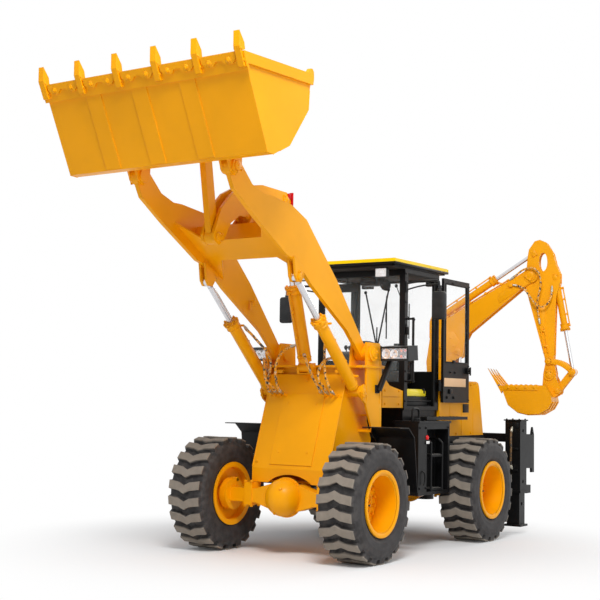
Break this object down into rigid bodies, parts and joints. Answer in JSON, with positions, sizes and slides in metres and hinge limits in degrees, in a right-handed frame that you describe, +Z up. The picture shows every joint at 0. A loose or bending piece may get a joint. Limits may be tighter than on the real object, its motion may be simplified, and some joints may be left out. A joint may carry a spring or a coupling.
{
  "type": "backhoe loader",
  "caption": "Articulated backhoe loader: toothed loader bucket raised on long arms, glazed cab with an open door, and a side-shift rear hoe swung aside.",
  "frame": {"origin": "on the ground below the middle of the machine's bounding box", "axes": "+X forward to the loader bucket, +Y to the machine's left, +Z up"},
  "size_m": [6.6254, 2.359, 4.1977],
  "materials": {
    "yellow_paint": "satin",
    "black_paint": "satin",
    "tyre_rubber": "matte",
    "clear_glass": "clear",
    "rod_chrome": "polished",
    "grey_steel": "worn",
    "seat_cover": "matte",
    "engine_iron": "matte"
  },
  "bodies": {
    "chassis": {"rear_frame": "black_paint", "driveline": "grey_steel", "rear_axle": "yellow_paint", "engine_block": "engine_iron", "engine_hood": "yellow_paint", "cab_frame": "black_paint", "cab_glass": "clear_glass", "cab_roof": "yellow_paint", "cab_cowl": "yellow_paint", "seat": "seat_cover", "steering_console": "black_paint", "step_boxes": "black_paint", "mirrors": "black_paint", "slide_frame": "black_paint"},
    "front_half": {"front_frame": "yellow_paint", "front_cover": "yellow_paint", "front_axle": "yellow_paint", "front_fenders": "black_paint", "headlamps": "black_paint"},
    "wheel_front_left": {"tyre_front_left": "tyre_rubber", "rim_front_left": "yellow_paint"},
    "wheel_front_right": {"tyre_front_right": "tyre_rubber", "rim_front_right": "yellow_paint"},
    "wheel_rear_left": {"tyre_rear_left": "tyre_rubber", "rim_rear_left": "yellow_paint"},
    "wheel_rear_right": {"tyre_rear_right": "tyre_rubber", "rim_rear_right": "yellow_paint"},
    "door": {"door_left": "black_paint", "door_glass": "clear_glass"},
    "arms": {"loader_arms": "yellow_paint"},
    "rocker": {"rocker": "yellow_paint"},
    "link": {"bucket_link": "yellow_paint"},
    "bucket": {"loader_bucket": "yellow_paint", "bucket_teeth": "grey_steel"},
    "lift_barrels": {"lift_barrels": "yellow_paint"},
    "lift_rods": {"lift_rods": "rod_chrome"},
    "tilt_barrel": {"tilt_barrel": "yellow_paint"},
    "tilt_piston": {"tilt_piston": "grey_steel"},
    "tilt_rod": {"tilt_rod": "rod_chrome"},
    "leg_left": {"leg_left": "black_paint"},
    "leg_right": {"leg_right": "black_paint"},
    "carriage": {"hoe_carriage": "black_paint"},
    "post": {"swing_post": "yellow_paint"},
    "boom": {"hoe_boom": "yellow_paint"},
    "boom_barrel": {"boom_barrel": "yellow_paint"},
    "boom_rod": {"boom_rod": "rod_chrome"},
    "stick": {"hoe_stick": "yellow_paint"},
    "stick_barrel": {"stick_barrel": "yellow_paint"},
    "stick_rod": {"stick_rod": "rod_chrome"},
    "hoe_bucket": {"hoe_bucket": "yellow_paint"},
    "hoe_lever": {"hoe_lever": "yellow_paint"},
    "hoe_link": {"hoe_link": "yellow_paint"},
    "curl_barrel": {"curl_barrel": "yellow_paint"},
    "curl_rod": {"curl_rod": "rod_chrome"}
  },
  "joints": [
    {"name": "wheel_front_left_spin", "type": "hinge", "parent": "front_half", "child": "wheel_front_left", "pos_m": [0.97929, 0.70648, 0.53511], "axis": [0, 1, 0], "continuous": true},
    {"name": "wheel_front_right_spin", "type": "hinge", "parent": "front_half", "child": "wheel_front_right", "pos_m": [0.97929, -0.94252, 0.53511], "axis": [0, 1, 0], "continuous": true},
    {"name": "wheel_rear_left_spin", "type": "hinge", "parent": "chassis", "child": "wheel_rear_left", "pos_m": [-1.36671, 0.70648, 0.53511], "axis": [0, 1, 0], "continuous": true},
    {"name": "wheel_rear_right_spin", "type": "hinge", "parent": "chassis", "child": "wheel_rear_right", "pos_m": [-1.36671, -0.94252, 0.53511], "axis": [0, 1, 0], "continuous": true},
    {"name": "articulation", "type": "hinge", "parent": "chassis", "child": "front_half", "pos_m": [-0.19371, -0.11802, 0.82761], "axis": [0, 0, 1], "range_deg": [-30, 30]},
    {"name": "door_swing", "type": "hinge", "parent": "chassis", "child": "door", "pos_m": [-1.02071, 0.43498, 2.09761], "axis": [0, 0, -1], "range_deg": [0, 178]},
    {"name": "lift", "type": "hinge", "parent": "front_half", "child": "arms", "pos_m": [0.45929, -0.11802, 1.89761], "axis": [0, -1, 0], "range_deg": [-70, 6]},
    {"name": "bucket_tilt", "type": "hinge", "parent": "arms", "child": "bucket", "pos_m": [2.63429, -0.11802, 3.33261], "axis": [0, 1, 0], "range_deg": [0, 100]},
    {"name": "rocker_turn", "type": "hinge", "parent": "arms", "child": "rocker", "pos_m": [1.69929, -0.11802, 3.04761], "axis": [0, -1, 0], "range_deg": [-1, 36]},
    {"name": "link_turn", "type": "hinge", "parent": "bucket", "child": "link", "pos_m": [2.36429, -0.11802, 3.59761], "axis": [0, -1, 0], "range_deg": [-1, 50]},
    {"name": "lift_barrel_turn", "type": "hinge", "parent": "front_half", "child": "lift_barrels", "pos_m": [0.59929, -0.11802, 1.52761], "axis": [0, -1, 0], "range_deg": [-76, 8]},
    {"name": "lift_rod_slide", "type": "slide", "parent": "lift_barrels", "child": "lift_rods", "axis": [0.7276, 0, 0.686], "range_m": [-0.46, 0.045]},
    {"name": "tilt_barrel_turn", "type": "hinge", "parent": "front_half", "child": "tilt_barrel", "pos_m": [0.70929, -0.11802, 1.74961], "axis": [0, -1, 0], "range_deg": [-77, 7]},
    {"name": "tilt_piston_slide", "type": "slide", "parent": "tilt_barrel", "child": "tilt_piston", "axis": [0.3018, 0, 0.9534], "range_m": [-0.32, 0.03]},
    {"name": "tilt_rod_slide", "type": "slide", "parent": "tilt_piston", "child": "tilt_rod", "axis": [0.3018, 0, 0.9534], "range_m": [-0.35, 0.01]},
    {"name": "leg_left_slide", "type": "slide", "parent": "chassis", "child": "leg_left", "axis": [0, 0, -1], "range_m": [-0.3, 0.35]},
    {"name": "leg_right_slide", "type": "slide", "parent": "chassis", "child": "leg_right", "axis": [0, 0, -1], "range_m": [-0.3, 0.35]},
    {"name": "side_shift", "type": "slide", "parent": "chassis", "child": "carriage", "axis": [0, 1, 0], "range_m": [0, 1]},
    {"name": "hoe_swing", "type": "hinge", "parent": "carriage", "child": "post", "pos_m": [-2.74071, -0.61802, 0.77761], "axis": [0, 0, -1], "range_deg": [-168, 12]},
    {"name": "boom_lower", "type": "hinge", "parent": "post", "child": "boom", "pos_m": [-2.78645, -0.40283, 0.94761], "axis": [-0.9781, -0.2079, 0], "range_deg": [-6, 90]},
    {"name": "boom_barrel_turn", "type": "hinge", "parent": "post", "child": "boom_barrel", "pos_m": [-2.82388, -0.22676, 0.55761], "axis": [-0.9781, -0.2079, 0], "range_deg": [-6, 80]},
    {"name": "boom_rod_slide", "type": "slide", "parent": "boom_barrel", "child": "boom_rod", "axis": [-0.0028, 0.013, 0.9999], "range_m": [-0.57, 0.045]},
    {"name": "stick_out", "type": "hinge", "parent": "boom", "child": "stick", "pos_m": [-3.01017, 0.64966, 2.95961], "axis": [0.9781, 0.2079, 0], "range_deg": [-12, 80]},
    {"name": "stick_barrel_turn", "type": "hinge", "parent": "boom", "child": "stick_barrel", "pos_m": [-2.76774, -0.49086, 2.43761], "axis": [0.9781, 0.2079, 0], "range_deg": [-2, 3]},
    {"name": "stick_rod_slide", "type": "slide", "parent": "stick_barrel", "child": "stick_rod", "axis": [-0.1734, 0.816, 0.5515], "range_m": [-0.36, 0.06]},
    {"name": "hoe_bucket_open", "type": "hinge", "parent": "stick", "child": "hoe_bucket", "pos_m": [-3.05611, 0.86583, 1.77761], "axis": [0.9781, 0.2079, 0], "range_deg": [-15, 100]},
    {"name": "hoe_lever_turn", "type": "hinge", "parent": "stick", "child": "hoe_lever", "pos_m": [-3.053, 0.85115, 1.94261], "axis": [0.9781, 0.2079, 0], "range_deg": [-12, 75]},
    {"name": "hoe_link_turn", "type": "hinge", "parent": "hoe_bucket", "child": "hoe_link", "pos_m": [-3.0742, 0.95093, 1.59661], "axis": [0.9781, 0.2079, 0], "range_deg": [-65, 11]},
    {"name": "curl_barrel_turn", "type": "hinge", "parent": "stick", "child": "curl_barrel", "pos_m": [-3.06921, 0.92745, 2.92761], "axis": [0.9781, 0.2079, 0], "range_deg": [-2, 3]},
    {"name": "curl_rod_slide", "type": "slide", "parent": "curl_barrel", "child": "curl_rod", "axis": [-0.0364, 0.1714, -0.9845], "range_m": [-0.37, 0.06]}
  ],
  "couplings": [
    {"joint": "rocker_turn", "follows": "bucket_tilt", "ratio": 0.35},
    {"joint": "link_turn", "follows": "bucket_tilt", "ratio": 0.491},
    {"joint": "lift_barrel_turn", "follows": "lift", "ratio": 1.07},
    {"joint": "lift_rod_slide", "follows": "lift", "m_per_rad": 0.36},
    {"joint": "tilt_barrel_turn", "follows": "lift", "ratio": 1.077},
    {"joint": "tilt_piston_slide", "follows": "lift", "m_per_rad": 0.25},
    {"joint": "tilt_rod_slide", "follows": "bucket_tilt", "m_per_rad": -0.19},
    {"joint": "boom_barrel_turn", "follows": "boom_lower", "ratio": 0.863},
    {"joint": "boom_rod_slide", "follows": "boom_lower", "m_per_rad": -0.351},
    {"joint": "stick_barrel_turn", "follows": "stick_out", "ratio": 0.02},
    {"joint": "stick_rod_slide", "follows": "stick_out", "m_per_rad": -0.248},
    {"joint": "hoe_lever_turn", "follows": "hoe_bucket_open", "ratio": 0.735},
    {"joint": "hoe_link_turn", "follows": "hoe_bucket_open", "ratio": -0.63},
    {"joint": "curl_barrel_turn", "follows": "hoe_bucket_open", "ratio": 0.015},
    {"joint": "curl_rod_slide", "follows": "hoe_bucket_open", "m_per_rad": -0.205}
  ]
}
